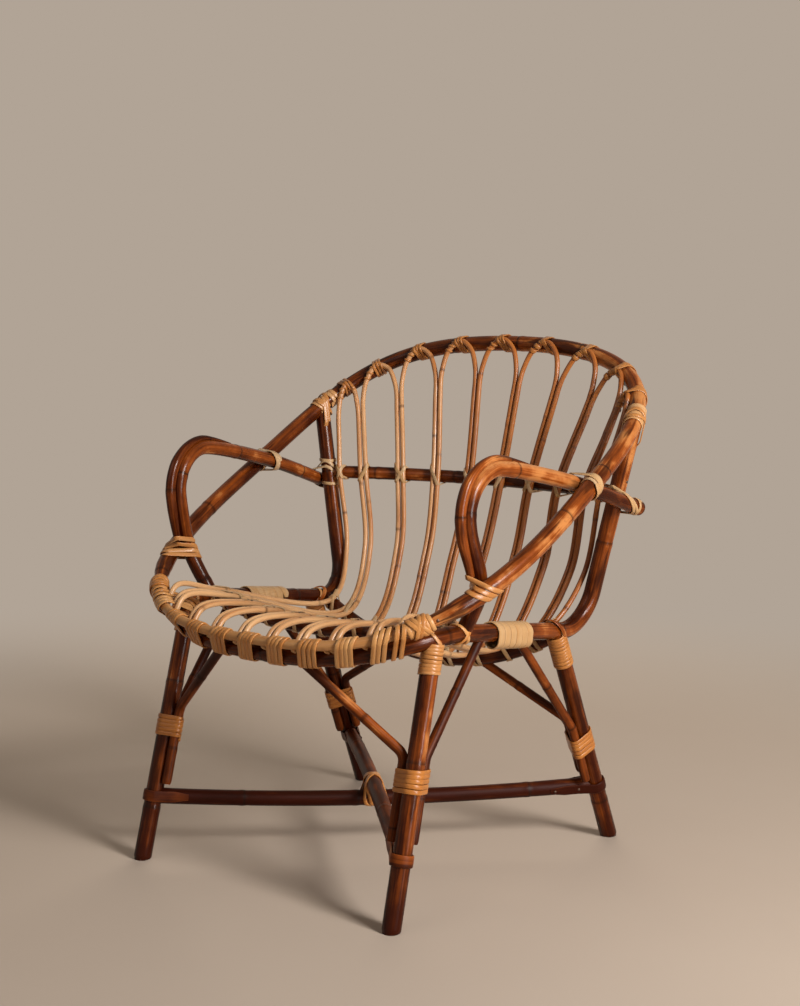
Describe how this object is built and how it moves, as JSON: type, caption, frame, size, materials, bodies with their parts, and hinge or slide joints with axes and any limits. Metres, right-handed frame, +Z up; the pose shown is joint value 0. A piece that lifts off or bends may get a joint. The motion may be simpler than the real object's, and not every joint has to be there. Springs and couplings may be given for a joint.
{
  "type": "rattan armchair",
  "caption": "Low bucket armchair of bent rattan poles, with hairpin canes for seat and back, looped arms, crossed stretchers and split-cane bindings.",
  "frame": {"origin": "on the floor, under the middle of the chair's box", "axes": "+Z up, -Y towards the front of the seat, +X to the right of someone facing the chair"},
  "size_m": [0.6571, 0.6451, 0.7728],
  "materials": {
    "lacquered_pole": "dark red-brown gloss lacquer",
    "natural_bar": "natural cane, satin",
    "seat_cane": "golden tan cane, satin varnish",
    "split_cane": "golden split cane, satin",
    "straw_strip": "pale wide split cane, satin"
  },
  "bodies": {
    "root": {"rim_arch": "lacquered_pole", "front_seat_rail": "lacquered_pole", "back_post_right": "lacquered_pole", "back_post_left": "lacquered_pole", "rear_seat_rail": "lacquered_pole", "middle_seat_rail": "lacquered_pole", "back_cross_rail": "lacquered_pole", "leg_front_right": "lacquered_pole", "leg_front_left": "lacquered_pole", "leg_rear_right": "lacquered_pole", "leg_rear_left": "lacquered_pole", "brace_front_right": "lacquered_pole", "brace_front_left": "lacquered_pole", "brace_side_front_right": "lacquered_pole", "brace_side_front_left": "lacquered_pole", "brace_side_rear_right": "lacquered_pole", "brace_side_rear_left": "lacquered_pole", "brace_rear_right": "lacquered_pole", "brace_rear_left": "lacquered_pole", "stretcher_low": "lacquered_pole", "stretcher_high": "lacquered_pole", "arm_hoop_right": "lacquered_pole", "arm_hoop_left": "lacquered_pole", "arm_cane_right": "lacquered_pole", "arm_cane_left": "lacquered_pole", "front_bar": "natural_bar", "hairpin_cane_1": "seat_cane", "hairpin_cane_2": "seat_cane", "hairpin_cane_3": "seat_cane", "hairpin_cane_4": "seat_cane", "hairpin_cane_5": "seat_cane", "hairpin_cane_6": "seat_cane", "hairpin_cane_7": "seat_cane", "hairpin_cane_8": "seat_cane", "hairpin_cane_9": "seat_cane", "binding_leg_front_right": "split_cane", "binding_leg_front_left": "split_cane", "binding_leg_rear_right": "split_cane", "binding_leg_rear_left": "split_cane", "binding_braces_front_right": "split_cane", "binding_braces_front_left": "split_cane", "binding_braces_rear_right": "split_cane", "binding_braces_rear_left": "split_cane", "binding_arm_front_right": "split_cane", "binding_arm_front_left": "split_cane", "binding_arm_rear_right": "split_cane", "binding_arm_rear_left": "split_cane", "binding_hairpin_1": "split_cane", "binding_hairpin_2": "split_cane", "binding_hairpin_3": "split_cane", "binding_hairpin_4": "split_cane", "binding_hairpin_5": "split_cane", "binding_hairpin_6": "split_cane", "binding_hairpin_7": "split_cane", "binding_hairpin_8": "split_cane", "binding_hairpin_9": "split_cane", "binding_front_edge": "split_cane", "binding_stretchers": "split_cane", "binding_splice_right": "straw_strip", "binding_splice_left": "straw_strip"}
  },
  "joints": []
}
